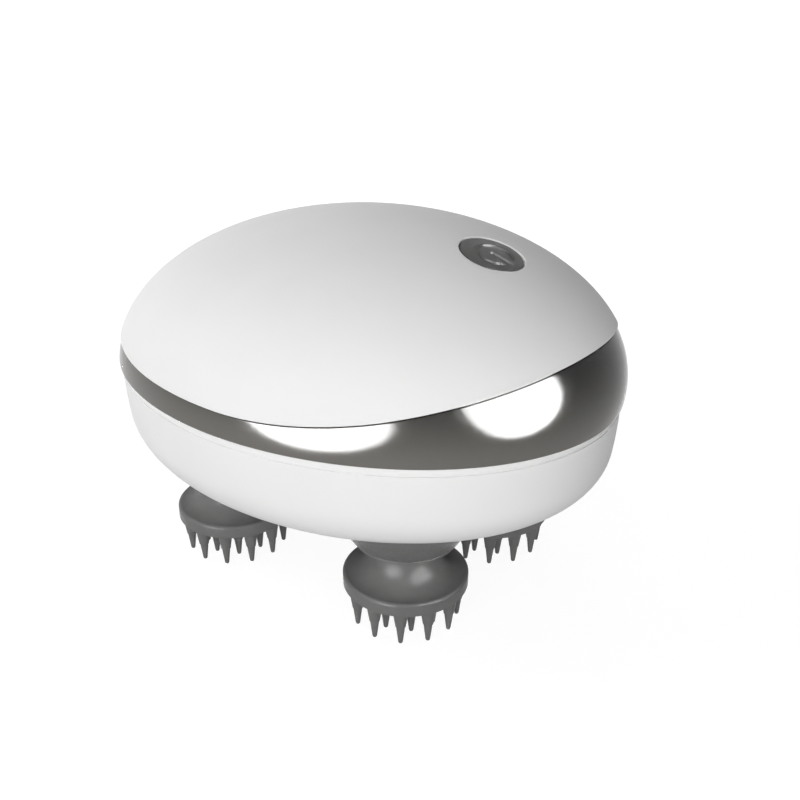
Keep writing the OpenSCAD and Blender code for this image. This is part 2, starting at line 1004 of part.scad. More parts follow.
module motor_armature() {
    color(magnet_grey)
        translate(motor_pos)
            translate([0, 0, armature_z])
                difference() {
                    cylinder(r = armature_r, h = armature_h, $fn = round_fn);
                    translate([0, 0, -over])
                        cylinder(r = motor_shaft_r, h = armature_h + 2 * over, $fn = small_fn);
                    for (k = [0 : armature_slots - 1])
                        rotate([0, 0, k * 360 / armature_slots]) {
                            translate([slot_ring_r, 0, -over])
                                cylinder(r = slot_r, h = armature_h + 2 * over, $fn = small_fn);
                            translate([slot_ring_r, -slot_mouth / 2, -over])
                                cube([armature_r, slot_mouth, armature_h + 2 * over]);
                        }
                }
}

module motor_shaft() {
    color(steel)
        translate(motor_pos)
            translate([0, 0, wheel_z - shaft_stub])
                cylinder(r = motor_shaft_r, h = chassis_top + motor_h - wheel_z, $fn = small_fn);
}

module motor_pinion() {
    color(brass)
        translate(motor_pos)
            translate([0, 0, wheel_z])
                difference() {
                    rotate([0, 0, motor_turn])
                        spur(motor_module, motor_pinion_teeth, motor_backlash, wheel_face + shaft_stub);
                    translate([0, 0, -over])
                        cylinder(r = motor_shaft_r, h = big, $fn = small_fn);
                }
}

// ------------------------------------------------------------ power supply

// Puts its children on the axis of the cell, with z along +X.
module on_cell_axis(start) {
    translate([start, cell_y, cell_z])
        rotate([0, 90, 0])
            children();
}

module battery_cell() {
    color(cell_blue)
        on_cell_axis(-cell_len / 2) {
            cylinder(r = cell_r, h = cell_len - cell_tip_h, $fn = round_fn);
            cylinder(r = cell_tip_r, h = cell_len, $fn = small_fn);
        }
}

module battery_cradle() {
    color(nylon)
        difference() {
            translate([-cradle_len / 2, cell_y - cradle_w / 2, chassis_top])
                cube([cradle_len, cradle_w, cradle_h]);
            on_cell_axis(-cell_len / 2)
                cylinder(r = cell_r, h = cell_len, $fn = round_fn);
        }
}

module battery_strap() {
    color(black)
        difference() {
            union() {
                on_cell_axis(-strap_w / 2)
                    cylinder(r = cell_r + strap_t, h = strap_w, $fn = round_fn);
                translate([-strap_w / 2, cell_y - cell_r - strap_t, chassis_top])
                    cube([strap_w, 2 * (cell_r + strap_t), cell_z - chassis_top]);
            }
            on_cell_axis(-strap_w)
                cylinder(r = cell_r, h = 2 * strap_w, $fn = round_fn);
            translate([-strap_w, cell_y - cell_r, 0])
                cube([2 * strap_w, 2 * cell_r, cell_z]);
        }
}

module charge_socket() {
    color(steel) {
        from_socket(0, socket_len)
            difference() {
                stadium(socket_w, socket_h);
                stadium(socket_w - 2 * socket_wall, socket_h - 2 * socket_wall);
            }
        from_socket(socket_len - 1, 1)
            stadium(socket_w - socket_wall, socket_h - socket_wall);
        translate([socket_x + socket_len - 1 - tongue_size[0], 0, socket_z])
            translate([0, -tongue_size[1] / 2, -tongue_size[2] / 2])
                cube(tongue_size);
    }
}

module socket_gasket() {
    color(rubber_grey)
        from_socket(0, wall)
            difference() {
                stadium(socket_w + 2 * gasket_rim, socket_h + 2 * gasket_rim);
                stadium(socket_w, socket_h);
            }
}

module socket_board() {
    color(board_green)
        translate([socket_x + pcb_back, -pcb_size[1] / 2, pcb_top - pcb_size[2]])
            cube(pcb_size);
}

// ------------------------------------------------------------ heads

module output_gear(place) {
    color(nylon)
        translate(place)
            translate([0, 0, gear_z])
                difference() {
                    union() {
                        rotate([0, 0, output_turn(place)])
                            spur(out_module, output_teeth, out_backlash, gear_face);
                        cylinder(
                            r = gear_hub_r,
                            h = chassis_z - bush_flange_t - end_play - gear_z,
                            $fn = round_fn
                        );
                    }
                    translate([0, 0, -over])
                        cylinder(r = shaft_r, h = big, $fn = round_fn);
                }
}

// The shaft is round in its bushings and six-sided in the hub.
module output_shaft(place) {
    color(steel)
        translate(place) {
            translate([0, 0, hub_z + hub_flange_t])
                cylinder(r = shaft_r, h = head_top - hub_z - hub_flange_t, $fn = 6);
            translate([0, 0, head_top])
                cylinder(r = shaft_r, h = chassis_top - head_top - end_play, $fn = round_fn);
        }
}

// Outer form of the hub: lobes and a foot that hold it in the silicone.
module hub_form() {
    translate([0, 0, hub_z]) {
        cylinder(r = hub_flange_r, h = hub_flange_t, $fn = round_fn);
        cylinder(r = hub_core_r, h = hub_top - hub_z, $fn = round_fn);
        for (k = [0 : hub_lobes - 1])
            rotate([0, 0, k * 360 / hub_lobes])
                translate([hub_core_r, 0, 0])
                    cylinder(r = hub_lobe_r, h = hub_top - hub_z, $fn = small_fn);
    }
}

module head_hub(place) {
    color(nylon)
        translate(place)
            difference() {
                hub_form();
                translate([0, 0, hub_z + hub_flange_t])
                    cylinder(r = shaft_r, h = big, $fn = 6);
            }
}

module massage_head(place) {
    color(rubber_grey)
        translate(place)
            difference() {
                union() {
                    rotate_extrude($fn = form_fn)
                        polygon(spool_outline());
                    tooth_ring(outer_teeth, outer_ring_r);
                    tooth_ring(inner_teeth, inner_ring_r);
                    tooth();
                }
                hub_form();
            }
}

// Half section of the spool: tooth plate with its round rim, then the wide arc
// that sinks behind the rim and rises to the waist, then the flare to the lip.
function spool_outline() =
    let (
        bead = [bead_x, bead_z],
        bowl = [neck_r + bowl_r, neck_z],
        reach = norm(bowl - bead),
        aim = atan2(bowl[1] - bead[1], bowl[0] - bead[0]),
        at_bead = acos((pow(bead_r, 2) + pow(reach, 2) - pow(bowl_r, 2)) / (2 * bead_r * reach)),
        at_bowl = acos((pow(bowl_r, 2) + pow(reach, 2) - pow(bead_r, 2)) / (2 * bowl_r * reach))
    )
    concat(
        [[0, plate_z]],
        arc(bead, bead_r, -asin((bead_z - plate_z) / bead_r), aim + at_bead),
        arc(bowl, bowl_r, 180 + aim - at_bowl, 180, 1),
        arc([neck_r + flare_r, neck_z], flare_r, 180, 90, 1),
        arc([lip_r - lip_t / 2, head_top - lip_t / 2], lip_t / 2, -90, 90),
        [[0, head_top]]
    );

module tooth_ring(count, radius) {
    for (k = [0 : count - 1])
        rotate([0, 0, k * 360 / count])
            translate([radius, 0, 0])
                tooth();
}

// A tooth points down to z = 0: tapered, with a small shoulder half way.
module tooth() {
    rotate_extrude($fn = small_fn) {
        polygon([
            [0, tip_r], [tip_r, tip_r], [waist_r, shoulder_z], [shoulder_r, shoulder_z + shoulder_h],
            [root_r, plate_z], [root_r, plate_z + root_sink], [0, plate_z + root_sink]
        ]);
        intersection() {
            translate([0, tip_r])
                circle(tip_r, $fn = small_fn);
            square(tip_r * 2);
        }
    }
}

// ------------------------------------------------------------ assembly

top_cover();
mid_band();
bottom_shell();
head_collars();
shell_gasket();
case_screws();
power_button();
switch_stem();
button_guide();
button_membrane();
tact_switch();
control_board();
board_screws();
gear_chassis();
chassis_screws();
centre_pin();
idler_pin();
lower_bushings();
upper_bushings();
shaft_seals();
motor_can();
motor_magnets();
motor_end_cap();
motor_screws();
motor_armature();
motor_shaft();
motor_pinion();
idler_gear();
drive_gear();
battery_cell();
battery_cradle();
battery_strap();
charge_socket();
socket_board();
socket_gasket();
for (i = [0 : 3]) {
    output_gear(heads[i]);
    output_shaft(heads[i]);
    head_hub(heads[i]);
    massage_head(heads[i]);
}
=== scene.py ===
"""Looks of the scalp massager: smooth shells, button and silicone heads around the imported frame."""
import json
import math

import bmesh
import bpy
import numpy as np
from mathutils import Matrix, Vector

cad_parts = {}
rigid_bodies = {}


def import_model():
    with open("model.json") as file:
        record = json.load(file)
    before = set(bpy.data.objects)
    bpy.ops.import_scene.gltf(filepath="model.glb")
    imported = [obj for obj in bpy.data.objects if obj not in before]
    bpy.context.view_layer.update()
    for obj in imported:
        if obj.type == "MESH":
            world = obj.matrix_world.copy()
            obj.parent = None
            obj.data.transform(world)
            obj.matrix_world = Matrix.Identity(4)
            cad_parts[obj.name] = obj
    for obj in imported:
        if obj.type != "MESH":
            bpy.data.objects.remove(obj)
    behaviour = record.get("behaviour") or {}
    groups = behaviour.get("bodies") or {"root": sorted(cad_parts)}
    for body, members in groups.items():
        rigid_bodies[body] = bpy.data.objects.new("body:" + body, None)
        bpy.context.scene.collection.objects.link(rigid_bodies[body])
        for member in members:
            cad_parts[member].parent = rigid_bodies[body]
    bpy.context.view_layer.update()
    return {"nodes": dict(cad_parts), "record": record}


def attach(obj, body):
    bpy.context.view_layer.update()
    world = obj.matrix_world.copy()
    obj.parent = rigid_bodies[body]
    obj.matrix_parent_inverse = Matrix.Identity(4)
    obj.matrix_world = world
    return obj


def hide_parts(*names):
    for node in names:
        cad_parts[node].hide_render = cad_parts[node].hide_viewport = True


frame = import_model()
MM = 0.001
WELD, SLIVER, TINY = 2e-6, 1e-7, 1e-9

# ---------------------------------------------------------------- sizes, in millimetres
# Housing: the leaning egg of dome and band, the bowl of the lower shell
HALF_LEN, HALF_WID, WAIST_Z = 62, 49, 49.2
DOME_RISE, DOME_LEAN = 34.6, 0.19
WALL, FLOOR_Z = 2.2, 26.5
SIDE_HALF, CORNER_R, SPLIT_Z = 76, 12, 37.3
JOINT_Z, RIM_Z, RIM_SWEEP_R = 48.9, 54.4, 162
BAND_INSET, SHELL_INSET = 0.5, 0.9
# SHADOW_GAP and SHADOW_DEPTH size a real recess under the rim; the third value is the fade of the painted shade
# that darkens the band towards the rim
SHADOW_GAP, SHADOW_DEPTH, RIM_SHADE_FADE = 0.38, 0.6, 9.3
BAND_WALL, BAND_SOFT, TONGUE_GAP, TONGUE_H, TONGUE_SOFT = 3.6, 0.25, 0.2, 1.8, 0.2
BEVEL_H, BEVEL_W, BEVEL_SOFT = 1.0, 0.45, 0.15
GROOVE_BELOW, GROOVE_W, GROOVE_DEPTH, GROOVE_SOFT = 1.5, 0.3, 0.25, 0.1
GASKET_IN, GASKET_T = 1.2, 1.0
OVAL_X = HALF_LEN / HALF_WID
SHELL_R = HALF_WID - SHELL_INSET

# Charging socket at the rear end: its mouth with gasket, and where the cut flares
SOCKET_Z, SOCKET_W, SOCKET_H, GASKET_RIM = 41, 8.94, 3.2, 1.1
SOCKET_FLARE, SOCKET_OUTSIDE, SOCKET_THROAT, SOCKET_INSIDE = 1.6, -61.2, -60.1, -54

# Button and its hole
BUTTON_X, BUTTON_R, BUTTON_GAP, EDGE_BREAK = 27.55, 6.7, 0.25, 0.25
CAP_SINK, CAP_SOFT, SKIRT_SOFT = 0.15, 0.3, 0.1
FLANGE_R, FLANGE_TOP, FLANGE_T, STEM_R, STEM_TOP = 7.8, -2.95, 1.0, 1.7, -6.3
SYMBOL_R, SYMBOL_W, SYMBOL_DEPTH, SYMBOL_X, SYMBOL_REACH = 3.75, 1.1, 0.5, 0.6, 5.4
SYMBOL_GAP, SYMBOL_SOFT, BAR_FROM, BAR_TO = 3.0, 0.12, -1.05, 4.8

# Massage heads and the fixed collars above them
PLATE_R, PLATE_Z, PLATE_EDGE, RIM_TOP, RIM_EDGE_R = 13.85, 8.6, 0.12, 11.65, 0.65
NECK_R, NECK_Z, FLARE_R = 7.2, 17.2, 3.0
LIP_R, LIP_T, LIP_SOFT, HEAD_TOP = 11.6, 0.5, 0.22, 20.7
HUB_LOBE_R, HUB_FLANGE_R, HUB_Z, HUB_FLANGE_TOP = 5.52, 7.02, 11.18, 12.62
COLLAR_R, COLLAR_Z, COLLAR_SLOPE, COLLAR_BORE_R, COLLAR_LIMIT_R = 12.05, 21, 0.65, 2.6, 19.0
COLLAR_BORE_SOFT, COLLAR_EDGE_SOFT = 0.2, 0.5
OUTER_TEETH, OUTER_RING_R, INNER_TEETH, INNER_RING_R = 12, 11.5, 8, 7.4
SHOULDER_R, TOOTH_WAIST_R, TIP_R, SHOULDER_Z, SHOULDER_H, SHOULDER_SOFT = 1.15, 0.98, 0.52, 4.2, 0.3, 0.12
ROOT_R, ROOT_FLARE_R, FLARE_FROM, ROOT_SOFT, ROOT_SINK = 1.7, 2.05, 8.1, 0.35, 0.4

# Places in plan: heads, screw columns, chassis posts, idler
CORNERS = {
    "front_right": (25.63, -18.48), "front_left": (25.63, 18.48),
    "rear_right": (-25.63, -18.48), "rear_left": (-25.63, 18.48),
}
QUADRANTS = [(1, -1), (1, 1), (-1, -1), (-1, 1)]
CASE_SCREW = (24, 37.5)
POST = (16.5, 35.5)
IDLER = (0, -26)

# Case screws: pilot holes, columns, ears of the band, wells in the underside and their plugs
PILOT_R, COLUMN_R, EAR_T, EAR_REACH, WELL_R, WELL_TOP = 1.2, 3.2, 2.4, 3.0, 2.1, 36
PLUG_R, PLUG_T = WELL_R - 0.03, 2.0
SEAL_R, SEAL_T, MOUTH, BEARING_BORE_R = 4.6, 1.2, 0.3, 3.5

# Bosses inside the lower shell: bore, outside, lower end, upper end
BEARING_BOSS = (BEARING_BORE_R, 6.0, FLOOR_Z + 1.4, 30.4)
CENTRE_BOSS = (2.5, 3.9, FLOOR_Z + 0.8, 31)
IDLER_BOSS = (1.5, 2.9, FLOOR_Z + 0.8, 35.8)
POST_BOSS = (1.1, 3.0, FLOOR_Z + 1.6, 44.8)
WELL_BOSS = (WELL_R, COLUMN_R, 33.2, 38)
SCREW_BOSS = (PILOT_R, COLUMN_R, 38, JOINT_Z - GASKET_T)

# ---------------------------------------------------------------- forms


def bisect(rising, low, high):
    """Where a rising function of an array crosses zero, between low and high."""
    for _ in range(48):
        middle = (low + high) / 2
        past = rising(middle) > 0
        high = np.where(past, middle, high)
        low = np.where(past, low, middle)
    return (low + high) / 2


def egg(unit, inset):
    """Points of the leaning egg, made smaller by inset, for directions on the unit sphere."""
    across = unit * (np.array([HALF_LEN, HALF_WID, DOME_RISE]) - inset)
    across[..., 0] += DOME_LEAN * across[..., 2]
    across[..., 2] += WAIST_Z
    return across


def unit_of(points, inset):
    """The directions on the unit sphere that egg() turns into these points."""
    across = points - np.array([0, 0, WAIST_Z])
    across[..., 0] -= DOME_LEAN * across[..., 2]
    return across / (np.array([HALF_LEN, HALF_WID, DOME_RISE]) - inset)


def rim_height(x):
    """Level of the sheet that parts dome and band: flat towards -X, swept up towards +X."""
    x = np.maximum(x, 0)
    return RIM_Z + RIM_SWEEP_R - np.sqrt(RIM_SWEEP_R ** 2 - x ** 2)


def egg_ring(angles, inset, lift=None, level=None):
    """A ring round the egg, where it meets the rim sheet raised by lift, or at a level of its own."""
    flat = np.stack([np.cos(angles), np.sin(angles), 0 * angles], 1)

    def at(height):
        rise = (height - WAIST_Z) / (DOME_RISE - inset)
        unit = flat * np.sqrt(np.maximum(0, 1 - rise ** 2))[:, None]
        unit[:, 2] = rise
        return egg(unit, inset)

    if level is not None:
        return at(np.broadcast_to(np.asarray(level, float), angles.shape))
    low, high = np.full(len(angles), RIM_Z - 1.0), np.full(len(angles), WAIST_Z + DOME_RISE - inset - 0.5)
    return at(bisect(lambda z: z - rim_height(at(z)[:, 0]) - lift, low, high))


def angles_of(count):
    return np.arange(count) * 2 * math.pi / count


def turned_ring(angles, radius, level, squeeze=1.0):
    """A level circle, stretched along X by squeeze."""
    return np.stack([squeeze * radius * np.cos(angles), radius * np.sin(angles), 0 * angles + level], 1)


def softened(rings, radii, steps=4, closed=True):
    """The rings with each corner of radius > 0 turned into a small arc."""
    made, count = [], len(rings)
    for i, (ring, radius) in enumerate(zip(rings, radii)):
        if not radius or (not closed and i in (0, count - 1)):
            made.append(ring)
            continue
        before, after = rings[i - 1] - ring, rings[(i + 1) % count] - ring
        a, b = (v * radius / np.maximum(np.linalg.norm(v, axis=1, keepdims=True), TINY) for v in (before, after))
        for t in np.linspace(0, 1, steps + 1):
            made.append(ring + a * (1 - t) ** 2 + b * t ** 2)
    return made


def skin(rings, closed=True):
    """Vertices and faces of a sleeve through rings that all have the same number of points."""
    count, columns = len(rings), len(rings[0])
    faces = []
    for i in range(count if closed else count - 1):
        low, high = i * columns, (i + 1) % count * columns
        for k in range(columns):
            after = (k + 1) % columns
            faces.append((low + k, low + after, high + after, high + k))
    return np.concatenate(rings), faces


def placed(name, data):
    """A new object in the scene."""
    made = bpy.data.objects.new(name, data)
    bpy.context.scene.collection.objects.link(made)
    return made


def piece(name, parts, slot_name, body, sharp=38):
    """One mesh object out of (vertices in mm, faces) parts, welded, smooth, riding on its body."""
    mesh = bmesh.new()
    for points, faces in parts:
        made = [mesh.verts.new(p * MM) for p in np.asarray(points, float)]
        for face in faces:
            mesh.faces.new([made[i] for i in face])
    bmesh.ops.remove_doubles(mesh, verts=mesh.verts, dist=WELD)
    bmesh.ops.dissolve_degenerate(mesh, edges=mesh.edges, dist=SLIVER)
    bmesh.ops.recalc_face_normals(mesh, faces=mesh.faces)
    data = bpy.data.meshes.new(name)
    mesh.to_mesh(data)
    mesh.free()
    data.shade_smooth()
    if sharp:
        data.set_sharp_from_angle(angle=math.radians(sharp))
    made = placed(name, data)
    data.materials.append(MATERIALS[slot_name])
    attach(made, body)
    return made


def cut(target, parts, sharp=38):
    """Takes closed (vertices, faces) parts out of a piece, for good."""
    for points, faces in parts:
        data = bpy.data.meshes.new("cutter")
        data.from_pydata([tuple(p * MM) for p in points], [], faces)
        mesh = bmesh.new()
        mesh.from_mesh(data)
        bmesh.ops.remove_doubles(mesh, verts=mesh.verts, dist=WELD)
        bmesh.ops.recalc_face_normals(mesh, faces=mesh.faces)
        mesh.to_mesh(data)
        mesh.free()
        cutter = placed("cutter", data)
        step = target.modifiers.new("cut", "BOOLEAN")
        step.operation, step.solver, step.object = "DIFFERENCE", "EXACT", cutter
        bpy.context.view_layer.objects.active = target
        with bpy.context.temp_override(object=target, active_object=target):
            bpy.ops.object.modifier_apply(modifier=step.name)
        bpy.data.objects.remove(cutter)
    target.data.shade_smooth()
    target.data.set_sharp_from_angle(angle=math.radians(sharp))


def revolved(profile, radii, columns, place=(0, 0), squeeze=1.0, steps=4, closed=False):
    """A turned form at a place in plan, from a half section of (radius, level) points with softened corners."""
    angles = angles_of(columns)
    rings = softened([turned_ring(angles, r, z, squeeze) for r, z in profile], radii, steps, closed)
    points, faces = skin(rings, closed)
    return points + np.array([place[0], place[1], 0]), faces


def tube(place, inner, outer, low, high, columns=48):
    """An upright pipe."""
    section = [(inner, low), (outer, low), (outer, high), (inner, high)]
    return revolved(section, [0] * 4, columns, place, closed=True)


# ---------------------------------------------------------------- materials


NOISE_SPAN = (0.3, 0.7)


def principled(name, **values):
    """A new node material and its shader, with plain values on the shader's own sockets."""
    made = bpy.data.materials.new(name)
    made.use_nodes = True
    shader = made.node_tree.nodes["Principled BSDF"]
    for key, value in values.items():
        shader.inputs[key.replace("_", " ")].default_value = value
    return made, shader


def add(tree, kind, **inputs):
    """A new node with plain values on its sockets."""
    node = tree.nodes.new(kind)
    for key, value in inputs.items():
        node.inputs[key.replace("_", " ")].default_value = value
    return node


def maths(tree, operation, *values):
    """One step of arithmetic on sockets and plain numbers."""
    node = tree.nodes.new("ShaderNodeMath")
    node.operation = operation
    for held, value in zip(node.inputs, values):
        if isinstance(value, bpy.types.NodeSocket):
            tree.links.new(value, held)
        else:
            held.default_value = value
    return node.outputs[0]


def noise(tree, scale, detail, stretch=None):
    """Noise in object space; scale is in features per metre, stretch squeezes it per axis."""
    place = tree.nodes.new("ShaderNodeTexCoord").outputs["Object"]
    if stretch:
        mapping = tree.nodes.new("ShaderNodeMapping")
        mapping.inputs["Scale"].default_value = stretch
        tree.links.new(place, mapping.inputs["Vector"])
        place = mapping.outputs["Vector"]
    node = add(tree, "ShaderNodeTexNoise", Scale=scale, Detail=detail)
    tree.links.new(place, node.inputs["Vector"])
    return node.outputs["Fac"]


def shaded(tree, fac, dark, light):
    """A colour that runs from dark to light with the noise."""
    node = tree.nodes.new("ShaderNodeValToRGB")
    for element, position, colour in zip(node.color_ramp.elements, NOISE_SPAN, (dark, light)):
        element.position, element.color = position, (*colour, 1)
    tree.links.new(fac, node.inputs["Fac"])
    return node.outputs["Color"]


def ranged(tree, fac, low, high, start, end):
    """A number that runs from low to high while fac runs from start to end."""
    node = add(tree, "ShaderNodeMapRange", From_Min=start, From_Max=end, To_Min=low, To_Max=high)
    tree.links.new(fac, node.inputs["Value"])
    return node.outputs["Result"]


def finish_of(name, colour, spread, rough, grain, blotch, bump, stretch=None, **values):
    """A moulded, turned or drawn surface: blotches of colour, uneven gloss and a fine grain in the relief."""
    made, shader = principled(name, **values)
    tree = made.node_tree
    wide = noise(tree, blotch, 4.0)
    fine = noise(tree, grain, 2.0, stretch)
    dark = tuple(c * (1 - spread) for c in colour)
    light = tuple(min(1.0, c * (1 + spread)) for c in colour)
    tree.links.new(shaded(tree, wide, dark, light), shader.inputs["Base Color"])
    tree.links.new(ranged(tree, fine, *rough, *NOISE_SPAN), shader.inputs["Roughness"])
    relief = add(tree, "ShaderNodeBump", Strength=bump[0], Distance=bump[1] * MM)
    tree.links.new(fine, relief.inputs["Height"])
    tree.links.new(relief.outputs["Normal"], shader.inputs["Normal"])
    return made


# Colour, its spread, roughness range, grain and blotches per metre, bump strength and depth in mm
MATERIALS = {
    "white_shell": finish_of(
        "white_shell", (0.84, 0.84, 0.838), 0.012, (0.46, 0.54), 5200, 60, (0.25, 0.012),
        Specular_IOR_Level=0.04),
    "dark_band": finish_of(
        "dark_band", (0.142, 0.1365, 0.126), 0.04, (0.10, 0.15), 900, 45, (0.03, 0.01),
        Specular_IOR_Level=0.2),
    "button_plastic": finish_of(
        "button_plastic", (0.088, 0.088, 0.086), 0.04, (0.27, 0.33), 7000, 300, (0.25, 0.01),
        Specular_IOR_Level=0.09),
    "silicone": finish_of(
        "silicone", (0.16, 0.16, 0.158), 0.05, (0.22, 0.30), 5200, 260, (0.12, 0.01),
        Specular_IOR_Level=0.027),
    "black_rubber": finish_of(
        "black_rubber", (0.02, 0.02, 0.02), 0.15, (0.6, 0.75), 4000, 300, (0.4, 0.02)),
    "black_plastic": finish_of(
        "black_plastic", (0.018, 0.018, 0.019), 0.12, (0.35, 0.5), 6000, 250, (0.3, 0.015)),
    "nylon": finish_of(
        "nylon", (0.72, 0.70, 0.60), 0.03, (0.4, 0.5), 3000, 180, (0.2, 0.02),
        Subsurface_Weight=0.15, Subsurface_Scale=0.002),
    "steel": finish_of(
        "steel", (0.56, 0.57, 0.59), 0.06, (0.22, 0.36), 2200, 300, (0.25, 0.01), (1, 1, 14), Metallic=1.0),
    "brass": finish_of(
        "brass", (0.66, 0.47, 0.17), 0.08, (0.25, 0.4), 2200, 350, (0.25, 0.01), (1, 1, 14), Metallic=1.0),
    "ferrite": finish_of(
        "ferrite", (0.05, 0.05, 0.055), 0.2, (0.5, 0.7), 3500, 500, (0.5, 0.03), Metallic=0.6),
    "circuit_board": finish_of(
        "circuit_board", (0.012, 0.12, 0.045), 0.25, (0.25, 0.35), 1500, 700, (0.15, 0.02)),
    "cell_wrap": finish_of(
        "cell_wrap", (0.035, 0.11, 0.32), 0.06, (0.2, 0.3), 1200, 120, (0.15, 0.03)),
}


def painted_rim_shade(made, level, fade):
    """Painted shade: sinks a colour towards black with height above a level, darkest just under the dome's rim."""
    tree = made.node_tree
    base = tree.nodes["Principled BSDF"].inputs["Base Color"]
    colour = base.links[0].from_socket
    height = tree.nodes.new("ShaderNodeSeparateXYZ")
    tree.links.new(tree.nodes.new("ShaderNodeTexCoord").outputs["Object"], height.inputs[0])
    above = maths(tree, "MAXIMUM", maths(tree, "SUBTRACT", height.outputs["Z"], level * MM), 0.0)
    depth = maths(tree, "POWER", maths(tree, "DIVIDE", above, fade * MM), 2.0)
    shade_scale = tree.nodes.new("ShaderNodeVectorMath")
    shade_scale.operation = "SCALE"
    tree.links.new(colour, shade_scale.inputs[0])
    tree.links.new(maths(tree, "EXPONENT", maths(tree, "MULTIPLY", depth, -1.0)), shade_scale.inputs["Scale"])
    tree.links.new(shade_scale.outputs[0], base)


# Painted shade: the dark band's colour sinks towards black with height, darkest just under the dome's rim
painted_rim_shade(MATERIALS["dark_band"], JOINT_Z, RIM_SHADE_FADE)

# ---------------------------------------------------------------- housing

SHELL_COLUMNS = 288
shell_angles = angles_of(SHELL_COLUMNS)

# The button's own frame on the dome
button_up = DOME_RISE * math.sqrt(1 - (BUTTON_X / HALF_LEN) ** 2)
button_place = np.array([BUTTON_X + DOME_LEAN * button_up, 0, WAIST_Z + button_up])
slope_x = BUTTON_X / HALF_LEN ** 2
button_tilt = math.atan2(slope_x, button_up / DOME_RISE ** 2 - DOME_LEAN * slope_x)
button_axis = np.array([math.sin(button_tilt), 0, math.cos(button_tilt)])
button_right = np.array([math.cos(button_tilt), 0, -math.sin(button_tilt)])
button_fore = np.array([0, 1.0, 0])


def on_button(x, y, up):
    """Points given in the button's frame."""
    return (button_place + x[:, None] * button_right + y[:, None] * button_fore
            + np.broadcast_to(up, x.shape)[:, None] * button_axis)


def dome_over_button(x, y, inset):
    """Height of the egg, made smaller by inset, above the button's plane."""
    start = unit_of(on_button(x, y, 0 * x), inset)
    way = unit_of(button_axis + np.array([0, 0, WAIST_Z]), inset)
    a, b, c = way @ way, 2 * start @ way, (start * start).sum(1) - 1
    return (-b + np.sqrt(b * b - 4 * a * c)) / (2 * a)


def dome_rings(inset, hole_r, fractions):
    """Rings from the button hole out to the rim, along great circles of the egg."""
    x, y = hole_r * np.cos(shell_angles), hole_r * np.sin(shell_angles)
    hole = unit_of(on_button(x, y, dome_over_button(x, y, inset)), inset)
    none = np.zeros(1)
    pole = unit_of(on_button(none, none, dome_over_button(none, none, inset)), inset)[0]
    start = np.arccos(np.clip(hole @ pole, -1, 1))
    way = hole - (hole @ pole)[:, None] * pole
    way /= np.linalg.norm(way, axis=1, keepdims=True)

    def at(turn):
        return egg(np.cos(turn)[:, None] * pole + np.sin(turn)[:, None] * way, inset)

    def below_rim(turn):
        spot = at(turn)
        return rim_height(spot[:, 0]) - spot[:, 2]

    end = bisect(below_rim, start, np.full(len(start), PAST_RIM))
    return [at(start + (end - start) * t) for t in fractions]


HOLE_R, PAST_RIM, OUTER_STEPS, INNER_STEPS = BUTTON_R + BUTTON_GAP, 2.3, 84, 40
outer = dome_rings(0, HOLE_R, np.linspace(0, 1, OUTER_STEPS))
inner = dome_rings(WALL, HOLE_R, np.linspace(1, 0, INNER_STEPS))
cover_radii = [EDGE_BREAK] + [0] * (OUTER_STEPS - 2) + [EDGE_BREAK] + [0] * INNER_STEPS
cover_rings = softened(outer + inner, cover_radii, steps=5)


def dome_level(x, y, inset):
    """Level of the egg, made smaller by inset, above a place in plan."""
    half_len, half_wid, rise = HALF_LEN - inset, HALF_WID - inset, DOME_RISE - inset
    a = (DOME_LEAN / half_len) ** 2 + 1 / rise ** 2
    b = -2 * x * DOME_LEAN / half_len ** 2
    c = (x / half_len) ** 2 + (y / half_wid) ** 2 - 1
    return WAIST_Z + (-b + math.sqrt(b * b - 4 * a * c)) / (2 * a)


def case_screw(sx, sy):
    """Place in plan of one case screw."""
    return CASE_SCREW[0] * sx, CASE_SCREW[1] * sy


def screw_column(sx, sy):
    """The column over a case screw, ending inside the wall of the dome."""
    x, y = case_screw(sx, sy)
    reach = 1 + COLUMN_R / math.hypot(x, y)
    return tube((x, y), PILOT_R, COLUMN_R, JOINT_Z + EAR_T, dome_level(x * reach, y * reach, COLUMN_END))


COLUMN_END = WALL * 0.7
columns = [screw_column(sx, sy) for sx, sy in QUADRANTS]
top_cover = piece("top_cover_skin", [skin(cover_rings)] + columns, "white_shell", "housing")
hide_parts("top_cover")


def band_ear(sx, sy):
    """The lug that carries one case screw, reaching into the wall of the band."""
    middle = np.array(case_screw(sx, sy))
    turn = math.atan2(middle[1], middle[0])
    ear = angles_of(48)
    reach = np.where(np.cos(ear) > 0, EAR_REACH, 0.0)
    x, y = COLUMN_R * np.cos(ear) + reach, COLUMN_R * np.sin(ear)
    plan = middle + np.stack([x * math.cos(turn) - y * math.sin(turn), x * math.sin(turn) + y * math.cos(turn)], 1)
    hole = middle + PILOT_R * np.stack([np.cos(ear), np.sin(ear)], 1)
    return skin([np.column_stack([ring, np.full(len(ear), z)]) for ring, z in
                 ((hole, JOINT_Z), (plan, JOINT_Z), (plan, JOINT_Z + EAR_T), (hole, JOINT_Z + EAR_T))])


